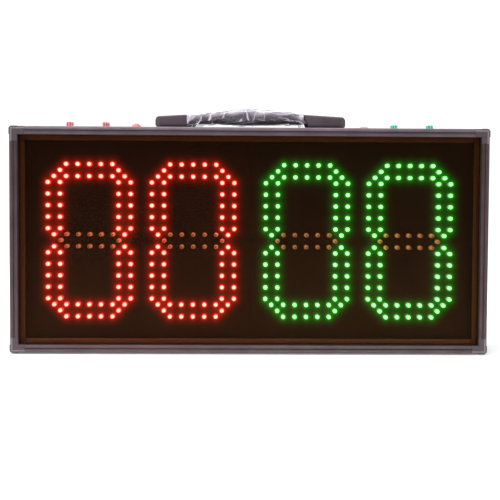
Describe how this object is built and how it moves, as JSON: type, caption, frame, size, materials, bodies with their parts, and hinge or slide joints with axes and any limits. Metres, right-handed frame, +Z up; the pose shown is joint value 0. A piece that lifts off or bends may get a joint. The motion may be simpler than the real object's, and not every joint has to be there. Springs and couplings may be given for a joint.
{
  "type": "substitution board",
  "caption": "Double-sided electronic substitution board: red and green LED digits behind smoked windows in an aluminium frame, with push buttons and a strap handle on top.",
  "frame": {"origin": "middle of the underside, on the plane that the rubber feet stand on", "axes": "+Z up, +X to the right of someone who looks at the front, front faces -Y"},
  "size_m": [0.626, 0.06, 0.3239],
  "materials": {
    "anodised_frame": "satin dark anodised",
    "black_moulding": "fine grain moulded",
    "steel": "bright plated",
    "rubber": "matt",
    "smoked_acrylic": "polished smoked brown acrylic",
    "red_lamps": "tinted epoxy lamps on a black circuit board",
    "green_lamps": "tinted epoxy lamps on a black circuit board",
    "red_cap": "translucent moulded",
    "green_cap": "translucent moulded",
    "orange_cap": "moulded",
    "circuit_board": "solder mask",
    "grip_rubber": "soft matt",
    "clear_film": "clear crinkled wrapping film",
    "cell_wrap": "shrink sleeve",
    "lead_sheath": "flexible sheath"
  },
  "bodies": {
    "frame": {"top_rail": "anodised_frame", "bottom_rail": "anodised_frame", "left_rail": "anodised_frame", "right_rail": "anodised_frame", "centre_spine": "anodised_frame", "corner_top_left": "black_moulding", "corner_top_right": "black_moulding", "corner_bottom_left": "black_moulding", "corner_bottom_right": "black_moulding", "handle_cap_left": "black_moulding", "handle_cap_right": "black_moulding", "battery_cradle": "black_moulding", "controller_cradle": "black_moulding", "charging_socket": "black_moulding", "corner_screw_top_left": "steel", "corner_screw_top_right": "steel", "corner_screw_bottom_left": "steel", "corner_screw_bottom_right": "steel", "display_screw_front_red": "steel", "display_screw_front_green": "steel", "display_screw_rear_red": "steel", "display_screw_rear_green": "steel", "handle_screw_left": "steel", "handle_screw_right": "steel", "handle_nut_left": "steel", "handle_nut_right": "steel", "strap_pin_left": "steel", "strap_pin_right": "steel", "battery_clip": "steel", "foot_left": "rubber", "foot_right": "rubber", "front_gasket": "rubber", "rear_gasket": "rubber", "handle_base_left": "rubber", "handle_base_right": "rubber", "front_panel": "smoked_acrylic", "rear_panel": "smoked_acrylic", "front_red_display": "red_lamps", "rear_red_display": "red_lamps", "front_green_display": "green_lamps", "rear_green_display": "green_lamps", "switch_board_left": "circuit_board", "switch_board_right": "circuit_board", "controller_board": "circuit_board", "battery_pack": "cell_wrap", "battery_lead": "lead_sheath", "switch_lead_left": "lead_sheath", "switch_lead_right": "lead_sheath", "socket_lead": "lead_sheath"},
    "red_tens_button": {"red_tens_button": "red_cap"},
    "red_units_button": {"red_units_button": "red_cap"},
    "green_tens_button": {"green_tens_button": "green_cap"},
    "green_units_button": {"green_units_button": "green_cap"},
    "mode_button": {"mode_button": "orange_cap"},
    "power_button": {"power_button": "orange_cap"},
    "grip": {"strap_grip": "grip_rubber", "grip_film": "clear_film"},
    "strap_left": {"strap_end_left": "grip_rubber"},
    "strap_right": {"strap_end_right": "grip_rubber"}
  },
  "joints": [
    {"name": "red_tens_press", "type": "slide", "parent": "frame", "child": "red_tens_button", "axis": [0, 0, -1], "range_m": [0, 0.0015], "stiffness_N_per_m": 600},
    {"name": "red_units_press", "type": "slide", "parent": "frame", "child": "red_units_button", "axis": [0, 0, -1], "range_m": [0, 0.0015], "stiffness_N_per_m": 600},
    {"name": "green_tens_press", "type": "slide", "parent": "frame", "child": "green_tens_button", "axis": [0, 0, -1], "range_m": [0, 0.0015], "stiffness_N_per_m": 600},
    {"name": "green_units_press", "type": "slide", "parent": "frame", "child": "green_units_button", "axis": [0, 0, -1], "range_m": [0, 0.0015], "stiffness_N_per_m": 600},
    {"name": "mode_press", "type": "slide", "parent": "frame", "child": "mode_button", "axis": [0, 0, -1], "range_m": [0, 0.0015], "stiffness_N_per_m": 600},
    {"name": "power_travel", "type": "slide", "parent": "frame", "child": "power_button", "axis": [0, 0, 1], "range_m": [-0.0007, 0.0028]},
    {"name": "handle_lift", "type": "slide", "parent": "frame", "child": "grip", "axis": [0, 0, 1], "range_m": [0, 0.014], "stiffness_N_per_m": 100},
    {"name": "strap_left_swing", "type": "hinge", "parent": "frame", "child": "strap_left", "pos_m": [-0.08, 0, 0.3075], "axis": [0, -1, 0], "range_deg": [0, 24]},
    {"name": "strap_right_swing", "type": "hinge", "parent": "frame", "child": "strap_right", "pos_m": [0.08, 0, 0.3075], "axis": [0, 1, 0], "range_deg": [0, 24]}
  ],
  "couplings": [
    {"joint": "strap_left_swing", "follows": "handle_lift", "rad_per_m": 29.4},
    {"joint": "strap_right_swing", "follows": "handle_lift", "rad_per_m": 29.4}
  ]
}
